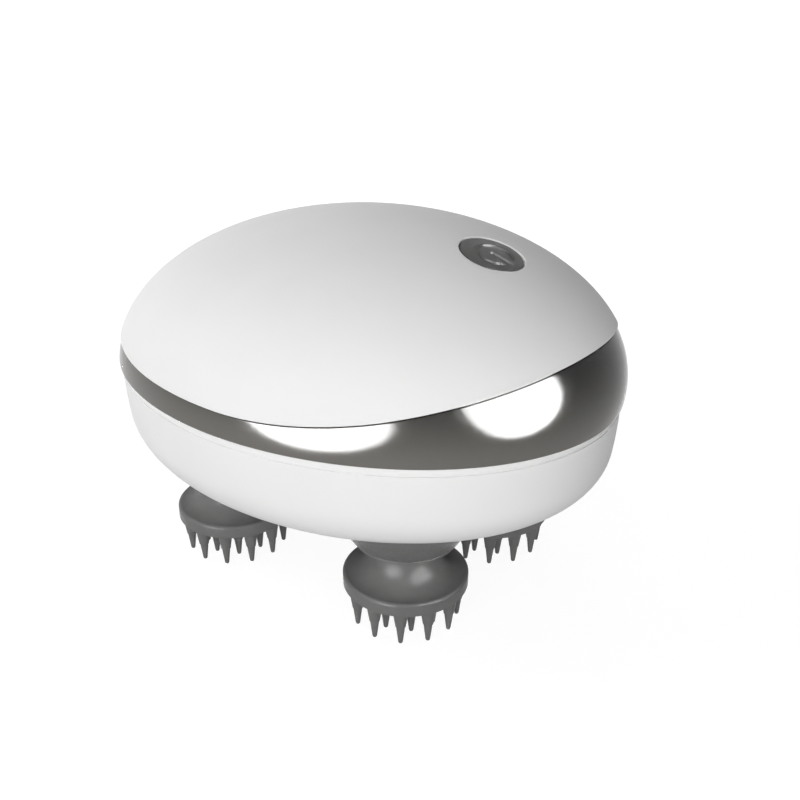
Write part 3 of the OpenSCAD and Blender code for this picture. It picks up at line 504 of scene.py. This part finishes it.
BAND_STEPS = 30
band_low = egg_ring(shell_angles, BAND_INSET, level=JOINT_Z)
band_high = egg_ring(shell_angles, BAND_INSET, lift=-SHADOW_GAP)
band_face = [band_low]
for t in np.linspace(0, 1, BAND_STEPS)[1:-1]:
    level = band_low[:, 2] + t * (band_high[:, 2] - band_low[:, 2])
    band_face.append(egg_ring(shell_angles, BAND_INSET, level=level))
band_rings = band_face + [
    band_high,
    egg_ring(shell_angles, BAND_INSET + SHADOW_DEPTH, lift=-SHADOW_GAP),
    egg_ring(shell_angles, BAND_INSET + SHADOW_DEPTH, lift=0),
    egg_ring(shell_angles, WALL + TONGUE_GAP, lift=0),
    egg_ring(shell_angles, WALL + TONGUE_GAP, lift=TONGUE_H),
    egg_ring(shell_angles, BAND_WALL, lift=TONGUE_H),
    egg_ring(shell_angles, BAND_WALL, level=JOINT_Z),
]
band_radii = [BAND_SOFT] + [0] * (BAND_STEPS - 2) + [GROOVE_SOFT, 0, 0, 0, TONGUE_SOFT, TONGUE_SOFT, 0]
mid_band = piece(
    "mid_band_skin", [skin(softened(band_rings, band_radii))] + [band_ear(sx, sy) for sx, sy in QUADRANTS],
    "dark_band", "housing")
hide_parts("mid_band")


def bowl_side(level, inset):
    """Radius across Y of the bulging side wall."""
    return (SHELL_R - inset) * math.sqrt(1 - ((WAIST_Z - level) / (SIDE_HALF - inset)) ** 2)


split_r = bowl_side(SPLIT_Z, 0)
corner_z = FLOOR_Z + CORNER_R
corner_x = split_r - math.sqrt(CORNER_R ** 2 - (corner_z - SPLIT_Z) ** 2)
corner_turn = math.asin((SPLIT_Z - corner_z) / CORNER_R)


def corner(radius, turns):
    """Points of the round corner between floor and side."""
    return [(corner_x + radius * math.cos(t), corner_z + radius * math.sin(t)) for t in turns]


bevel_low = JOINT_Z - BEVEL_H
groove_high = JOINT_Z - GROOVE_BELOW
groove_low = groove_high - GROOVE_W
side_levels = np.linspace(SPLIT_Z, groove_low, 16)[1:]
turns = np.linspace(-math.pi / 2, corner_turn, 22)
profile = [(0, FLOOR_Z)] + corner(CORNER_R, turns)
profile += [(bowl_side(z, 0), z) for z in side_levels]
soft = [0] * (len(profile) - 1) + [GROOVE_SOFT]
profile += [
    (bowl_side(groove_low, 0) - GROOVE_DEPTH, groove_low),
    (bowl_side(groove_high, 0) - GROOVE_DEPTH, groove_high),
    (bowl_side(groove_high, 0), groove_high),
    (bowl_side(bevel_low, 0), bevel_low),
    (SHELL_R - BEVEL_W, JOINT_Z),
    (SHELL_R - GASKET_IN, JOINT_Z),
    (SHELL_R - GASKET_IN, JOINT_Z - GASKET_T),
    (bowl_side(JOINT_Z - GASKET_T, WALL), JOINT_Z - GASKET_T),
]
soft += [0, 0, GROOVE_SOFT, BEVEL_SOFT, BEVEL_SOFT, 0, 0, 0]
inner_side = [(bowl_side(z, WALL), z) for z in np.linspace(JOINT_Z - GASKET_T, SPLIT_Z, 12)[1:-1]]
inner_corner = corner(CORNER_R - WALL, np.linspace(corner_turn, -math.pi / 2, 14))
profile += inner_side + inner_corner + [(0, FLOOR_Z + WALL)]
soft += [0] * (len(inner_side) + len(inner_corner) + 1)
bottom_shell = piece(
    "bottom_shell_skin", [revolved(profile, soft, SHELL_COLUMNS, squeeze=OVAL_X)], "white_shell", "housing")
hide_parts("bottom_shell")

# Openings: seal pockets with a broken edge, screw wells, the mouth of the charging socket
CUT_LOW, CUT_HIGH = FLOOR_Z - 1, FLOOR_Z + 5
pocket = [
    (0, CUT_LOW), (SEAL_R + MOUTH, CUT_LOW), (SEAL_R + MOUTH, FLOOR_Z), (SEAL_R, FLOOR_Z + MOUTH),
    (SEAL_R, FLOOR_Z + SEAL_T), (BEARING_BORE_R, FLOOR_Z + SEAL_T), (BEARING_BORE_R, CUT_HIGH), (0, CUT_HIGH),
]
well = [(0, CUT_LOW), (WELL_R, CUT_LOW), (WELL_R, WELL_TOP), (0, WELL_TOP)]
openings = [revolved(pocket, [0] * len(pocket), 64, place) for place in CORNERS.values()]
openings += [revolved(well, [0] * len(well), 40, case_screw(sx, sy)) for sx, sy in QUADRANTS]


def stadium(width, height, columns=48):
    """Outline with round ends, across Y and Z."""
    turn = angles_of(columns)
    y = height / 2 * np.cos(turn) + np.sign(np.cos(turn)) * (width - height) / 2
    return np.stack([y, height / 2 * np.sin(turn)], 1)


def across_x(outline, x):
    """An outline set up across the X axis at the charging socket."""
    return np.column_stack([np.full(len(outline), x), outline[:, 0], outline[:, 1] + SOCKET_Z])


def plug_of(rings):
    """A sleeve closed by a point in the middle of each end."""
    ends = [np.repeat(ring.mean(0, keepdims=True), len(ring), 0) for ring in (rings[0], rings[-1])]
    return skin([ends[0], *rings, ends[1]], closed=False)


mouth_w, mouth_h = SOCKET_W + 2 * GASKET_RIM, SOCKET_H + 2 * GASKET_RIM
mouth, flare = stadium(mouth_w, mouth_h), stadium(mouth_w + SOCKET_FLARE, mouth_h + SOCKET_FLARE)
openings.append(plug_of([
    across_x(flare, SOCKET_OUTSIDE), across_x(mouth, SOCKET_THROAT), across_x(mouth, SOCKET_INSIDE)]))
cut(bottom_shell, openings)

# Bosses inside the lower shell: bearings, gear pins, chassis posts, screw columns
bosses = [tube(place, *BEARING_BOSS) for place in CORNERS.values()]
bosses += [tube((0, 0), *CENTRE_BOSS), tube(IDLER, *IDLER_BOSS)]
for sx, sy in QUADRANTS:
    bosses += [tube((POST[0] * sx, POST[1] * sy), *POST_BOSS),
               tube(case_screw(sx, sy), *WELL_BOSS), tube(case_screw(sx, sy), *SCREW_BOSS)]
shell_bosses = piece("bottom_shell_bosses", bosses, "white_shell", "housing")
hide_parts("bottom_shell")

# ---------------------------------------------------------------- power button


def engraved(x, y):
    """Depth of the on-off sign at points of the cap: an open ring and a bar with rounded walls."""
    x = x - SYMBOL_X
    half = SYMBOL_W / 2
    end_y = SYMBOL_GAP / 2 + half
    end_x = math.sqrt(SYMBOL_R ** 2 - end_y ** 2)
    in_gap = (x > 0) & (np.abs(y) < end_y)
    ring = np.where(in_gap, np.hypot(x - end_x, np.abs(y) - end_y), np.abs(np.hypot(x, y) - SYMBOL_R))
    along = np.clip(x, BAR_FROM + half, BAR_TO - half)
    bar = np.hypot(x - along, y)
    t = np.clip((half + SYMBOL_SOFT - np.minimum(ring, bar)) / (2 * SYMBOL_SOFT), 0, 1)
    return SYMBOL_DEPTH * t * t * (3 - 2 * t)


CAP_COLUMNS = 320
cap_angles = angles_of(CAP_COLUMNS)
cap_radii = np.concatenate([np.linspace(0, SYMBOL_REACH, 70), np.linspace(SYMBOL_REACH, BUTTON_R, 9)[1:]])
cap_rings = []
for r in cap_radii:
    x, y = r * np.cos(cap_angles), r * np.sin(cap_angles)
    cap_rings.append(on_button(x, y, dome_over_button(x, y, CAP_SINK) - engraved(x, y)))
x, y = np.cos(cap_angles), np.sin(cap_angles)
skirt = [(BUTTON_R, FLANGE_TOP), (FLANGE_R, FLANGE_TOP), (FLANGE_R, FLANGE_TOP - FLANGE_T),
         (STEM_R, FLANGE_TOP - FLANGE_T), (STEM_R, STEM_TOP), (0, STEM_TOP)]
cap_rings += [on_button(r * x, r * y, np.full(CAP_COLUMNS, up)) for r, up in skirt]
cap_soft = [0] * (len(cap_radii) - 1) + [CAP_SOFT] + [SKIRT_SOFT] * 3 + [0] * 3
power_button = piece(
    "power_button_cap", [skin(softened(cap_rings, cap_soft, closed=False), closed=False)],
    "button_plastic", "button", sharp=75)
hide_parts("power_button")

# ---------------------------------------------------------------- massage heads


def arc(centre, radius, start, end, steps):
    """Points of an arc in the half section, angles in degrees."""
    return [(centre[0] + radius * math.cos(math.radians(a)), centre[1] + radius * math.sin(math.radians(a)))
            for a in np.linspace(start, end, steps)]


# The bowl's arc leaves the neck upright and runs into the round of the rim without a crease
rim_x, rim_z = PLATE_R - RIM_EDGE_R, RIM_TOP - RIM_EDGE_R
bowl_out, bowl_down = rim_x - NECK_R, NECK_Z - rim_z
bowl_r = (bowl_out ** 2 + bowl_down ** 2 - RIM_EDGE_R ** 2) / (2 * (bowl_out + RIM_EDGE_R))
bowl_turn = math.degrees(math.atan2(bowl_out - bowl_r, bowl_down))
spool = [(0, PLATE_Z), (PLATE_R, PLATE_Z)] + arc((rim_x, rim_z), RIM_EDGE_R, 0, 90 + bowl_turn, 10)
spool += arc((NECK_R + bowl_r, NECK_Z), bowl_r, 270 + bowl_turn, 180, 32)[1:]
spool += arc((NECK_R + FLARE_R, NECK_Z), FLARE_R, 180, 90, 14)[1:]
spool_soft = [0, PLATE_EDGE] + [0] * (len(spool) - 2)
spool += [(LIP_R, HEAD_TOP - LIP_T), (LIP_R, HEAD_TOP), (HUB_LOBE_R, HEAD_TOP), (HUB_LOBE_R, HUB_FLANGE_TOP),
          (HUB_FLANGE_R, HUB_FLANGE_TOP), (HUB_FLANGE_R, HUB_Z), (0, HUB_Z)]
spool_soft += [LIP_SOFT, LIP_SOFT, 0, 0, 0, 0, 0]
tooth_form = arc((0, TIP_R), TIP_R, -90, -8, 7) + [
    (TOOTH_WAIST_R, SHOULDER_Z), (SHOULDER_R, SHOULDER_Z + SHOULDER_H),
    (ROOT_R, FLARE_FROM), (ROOT_FLARE_R, PLATE_Z + 0.02), (ROOT_FLARE_R, PLATE_Z + ROOT_SINK)]
tooth_soft = [0] * 7 + [SHOULDER_SOFT, SHOULDER_SOFT, ROOT_SOFT, 0, 0]

TOOTH_COLUMNS = 24
teeth = [(OUTER_RING_R, turn) for turn in angles_of(OUTER_TEETH)]
teeth += [(INNER_RING_R, turn) for turn in angles_of(INNER_TEETH)] + [(0, 0)]

for corner_name, place in CORNERS.items():
    parts = [revolved(spool, spool_soft, 144, place)]
    for radius, turn in teeth:
        spot = (place[0] + radius * math.cos(turn), place[1] + radius * math.sin(turn))
        points, faces = revolved(tooth_form, tooth_soft, TOOTH_COLUMNS, spot)
        parts.append((points, faces + [tuple(range(len(points) - TOOTH_COLUMNS, len(points)))]))
    head = piece(corner_name + "_silicone", parts, "silicone", corner_name)
    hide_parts(corner_name + "_head")

COLLAR_COLUMNS = 192


def shell_underside(x, y):
    """Level of the outside of the lower shell, from its flat floor into the round corner."""
    out = np.maximum(np.hypot(x / OVAL_X, y) - corner_x, 0)
    return corner_z - np.sqrt(CORNER_R ** 2 - out ** 2)


def collar(place):
    """A cone under the shell whose upper end follows the shell."""
    angles = angles_of(COLLAR_COLUMNS)

    def spread(radius):
        return np.stack([place[0] + radius * np.cos(angles), place[1] + radius * np.sin(angles)], 1)

    def above_shell(radius):
        plan = spread(radius)
        return COLLAR_Z + (radius - COLLAR_R) / COLLAR_SLOPE - shell_underside(plan[:, 0], plan[:, 1])

    top_r = bisect(above_shell, np.full(COLLAR_COLUMNS, COLLAR_R), np.full(COLLAR_COLUMNS, COLLAR_LIMIT_R))
    rings = [np.column_stack([spread(r), np.full(COLLAR_COLUMNS, z)]) for r, z in
             ((COLLAR_BORE_R, FLOOR_Z), (COLLAR_BORE_R, COLLAR_Z), (COLLAR_R, COLLAR_Z))]
    for t in np.linspace(0, 1, 9)[1:]:
        radius = COLLAR_R + t * (top_r - COLLAR_R)
        rings.append(np.column_stack([spread(radius), COLLAR_Z + (radius - COLLAR_R) / COLLAR_SLOPE]))
    for t in np.linspace(1, 0, 12)[1:-1]:
        plan = spread(COLLAR_BORE_R + t * (top_r - COLLAR_BORE_R))
        rings.append(np.column_stack([plan, shell_underside(plan[:, 0], plan[:, 1])]))
    return skin(softened(rings, [0, COLLAR_BORE_SOFT, COLLAR_EDGE_SOFT] + [0] * (len(rings) - 3), steps=6))


def well_plug(sx, sy):
    """A plug in the mouth of a screw well, its face flush with the round corner of the shell."""
    middle_x, middle_y = case_screw(sx, sy)
    angles = angles_of(PLUG_COLUMNS)
    rings = []
    for radius, sink in ((0.01, 0), (0.7, 0), (1.4, 0), (PLUG_R, 0), (PLUG_R, PLUG_T), (0.01, PLUG_T)):
        x, y = middle_x + radius * np.cos(angles), middle_y + radius * np.sin(angles)
        rings.append(np.column_stack([x, y, shell_underside(x, y) + sink]))
    points, faces = skin(rings, closed=False)
    ends = [tuple(range(PLUG_COLUMNS)), tuple(range(len(points) - PLUG_COLUMNS, len(points)))]
    return points, faces + ends


PLUG_COLUMNS = 40
piece("screw_well_plugs", [well_plug(sx, sy) for sx, sy in QUADRANTS], "white_shell", "housing")
collars = piece("head_collar_cones", [collar(place) for place in CORNERS.values()], "silicone", "housing")
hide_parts("head_collars")

# ---------------------------------------------------------------- carried-over nodes

for part in frame["record"]["subparts"]:
    node = frame["nodes"][part["node"]]
    for held in node.material_slots:
        held.link = "OBJECT"
        held.material = MATERIALS[part["material_slot"]]

# ---------------------------------------------------------------- stage, light and camera


def facing_matrix(centre, way):
    """A place whose Z axis points along way."""
    return Matrix.Translation(centre) @ way.to_track_quat("Z", "Y").to_matrix().to_4x4()


def stage_disc(name, centre, radius, facing, material):
    """A flat round sheet that belongs to the stage."""
    mesh = bmesh.new()
    bmesh.ops.create_circle(mesh, cap_ends=True, segments=128, radius=radius)
    data = bpy.data.meshes.new(name)
    mesh.to_mesh(data)
    mesh.free()
    made = placed(name, data)
    made.matrix_world = facing_matrix(centre, Vector(facing))
    data.materials.append(material)
    return made


def seen(tree):
    """1 for rays that show the background: from the camera, mirrored or through glass."""
    path = tree.nodes.new("ShaderNodeLightPath").outputs
    mirrored = maths(tree, "MAXIMUM", path["Is Camera Ray"], path["Is Glossy Ray"])
    return maths(tree, "MAXIMUM", mirrored, path["Is Transmission Ray"])


def blank(made):
    """The empty node tree of a new material or world."""
    made.use_nodes = True
    made.node_tree.nodes.clear()
    return made.node_tree


def mixed(tree, share, bounced, shown, output):
    """Mixes two shaders into the output: 0 gives what light bounces off, 1 what the background shows."""
    mix = tree.nodes.new("ShaderNodeMixShader")
    tree.links.new(share, mix.inputs["Fac"])
    tree.links.new(bounced.outputs[0], mix.inputs[1])
    tree.links.new(shown.outputs[0], mix.inputs[2])
    tree.links.new(mix.outputs[0], tree.nodes.new(output).inputs["Surface"])


# The floor takes the object's shadow close by and turns plain white further out
WHITE = (1, 1, 1, 1)
FLOOR_R, FLOOR_GREY, FLOOR_FADE, FLOOR_GLOW = 3.0, (0.45, 0.45, 0.45, 1), 0.65, 0.92
FADE_FROM, FADE_TO = 0.12, 0.45
floor_material = bpy.data.materials.new("floor")
tree = blank(floor_material)
away = tree.nodes.new("ShaderNodeVectorMath")
away.operation = "LENGTH"
tree.links.new(tree.nodes.new("ShaderNodeTexCoord").outputs["Object"], away.inputs[0])
fade = ranged(tree, away.outputs["Value"], FLOOR_FADE, 1.0, FADE_FROM, FADE_TO)
mixed(tree, maths(tree, "MULTIPLY", seen(tree), fade), add(tree, "ShaderNodeBsdfDiffuse", Color=FLOOR_GREY),
      add(tree, "ShaderNodeEmission", Color=WHITE, Strength=FLOOR_GLOW / FLOOR_FADE), "ShaderNodeOutputMaterial")
floor = stage_disc("floor", (0, 0, 0), FLOOR_R, (0, 0, 1), floor_material)
floor.visible_glossy = False

FILL = 0.15
world = bpy.data.worlds.new("studio")
bpy.context.scene.world = world
tree = blank(world)
mixed(tree, seen(tree), add(tree, "ShaderNodeBackground", Color=WHITE, Strength=FILL),
      add(tree, "ShaderNodeBackground", Color=WHITE, Strength=1.0), "ShaderNodeOutputWorld")

MIDDLE = Vector((0, 0, 0.055))
LAMP_DISTANCE = 0.7


def towards(azimuth, elevation):
    """Direction with azimuth counted from +X and elevation above the horizon, in degrees."""
    a, e = math.radians(azimuth), math.radians(elevation)
    return Vector((math.cos(a) * math.cos(e), math.sin(a) * math.cos(e), math.sin(e)))


def lamp(name, azimuth, elevation, half_angle, radiance):
    """A round soft lamp that looks half_angle wide from the middle of the object."""
    data = bpy.data.lights.new(name, "AREA")
    data.shape = "DISK"
    radius = LAMP_DISTANCE * math.tan(math.radians(half_angle))
    data.size = 2 * radius
    data.energy = radiance * math.pi * math.pi * radius ** 2
    made = placed(name, data)
    way = towards(azimuth, elevation)
    made.matrix_world = facing_matrix(MIDDLE + way * LAMP_DISTANCE, way)
    made.visible_glossy = made.visible_camera = False


# Azimuth, elevation and half angle in degrees, radiance
LAMPS = [
    ("lamp_left", -180, 5, 22, 2.95),
    ("lamp_front_left", -150, 30, 22, 1.7),
    ("lamp_front", -70, 30, 22, 1.2),
    ("lamp_front_low", -70, 5, 22, 3.1),
    ("lamp_front_right", -40, 5, 22, 2.25),
    ("lamp_back", 135, 30, 22, 1.6),
]
for values in LAMPS:
    lamp(*values)

# Two soft boxes, one on each side of the camera, there for what the glossy band mirrors
CARD_GLOW, CARD_DISTANCE = 70.0, 6.0
card_material = bpy.data.materials.new("softbox")
tree = blank(card_material)
card_glow = add(tree, "ShaderNodeEmission", Color=WHITE, Strength=CARD_GLOW)
tree.links.new(card_glow.outputs[0], tree.nodes.new("ShaderNodeOutputMaterial").inputs["Surface"])
card_material.cycles.emission_sampling = "NONE"
# The satin white shells don't mirror them, so that their outlines stay clear from every side
mirrors = bpy.data.collections.new("mirrors")
for made in bpy.context.scene.objects:
    held_here = [held.material for held in made.material_slots]
    if made.type == "MESH" and MATERIALS["white_shell"] not in held_here:
        mirrors.objects.link(made)
# Azimuth, elevation and half angle in degrees, stretch across
CARDS = [("softbox_left", -93.0, 2.8, 27.0, 1.0), ("softbox_right", -9.0, 22, 26.5, 1.6)]
for name, azimuth, elevation, half_angle, tall in CARDS:
    way = towards(azimuth, elevation)
    card = stage_disc(name, MIDDLE + way * CARD_DISTANCE, CARD_DISTANCE * math.tan(math.radians(half_angle)),
                      -way, card_material)
    card.matrix_world = card.matrix_world @ Matrix.Diagonal((1, tall, 1, 1))
    card.visible_camera = card.visible_diffuse = card.visible_shadow = card.visible_transmission = False
    card.light_linking.receiver_collection = mirrors

# Camera at the photograph's place: turn, height and roll in radians, distance and aim in mm
AZIMUTH, ELEVATION, ROLL = 0.61552971, 0.43936481, 0.00490045
DISTANCE, AIM_RIGHT, AIM_UP = 254.186, 9.002, 34.555
FOCAL_PIXELS, IMAGE_PIXELS, SENSOR, NEAR = 1008.919, 800, 36, 0.01
outward = Vector((math.sin(AZIMUTH), -math.cos(AZIMUTH), 0))
back = outward * math.cos(ELEVATION) + Vector((0, 0, math.sin(ELEVATION)))
level = Vector((math.cos(AZIMUTH), math.sin(AZIMUTH), 0))
upright = back.cross(level)
right = math.cos(ROLL) * level + math.sin(ROLL) * upright
up = math.cos(ROLL) * upright - math.sin(ROLL) * level
spot = (back * DISTANCE + right * AIM_RIGHT + up * AIM_UP) * MM
camera_data = bpy.data.cameras.new("camera")
camera_data.sensor_width = SENSOR
camera_data.lens = FOCAL_PIXELS * SENSOR / IMAGE_PIXELS
camera_data.clip_start = NEAR
camera = placed("camera", camera_data)
camera.matrix_world = Matrix.Translation(spot) @ Matrix((right, up, back)).transposed().to_4x4()
bpy.context.scene.camera = camera

bpy.context.scene.view_settings.view_transform = "Standard"
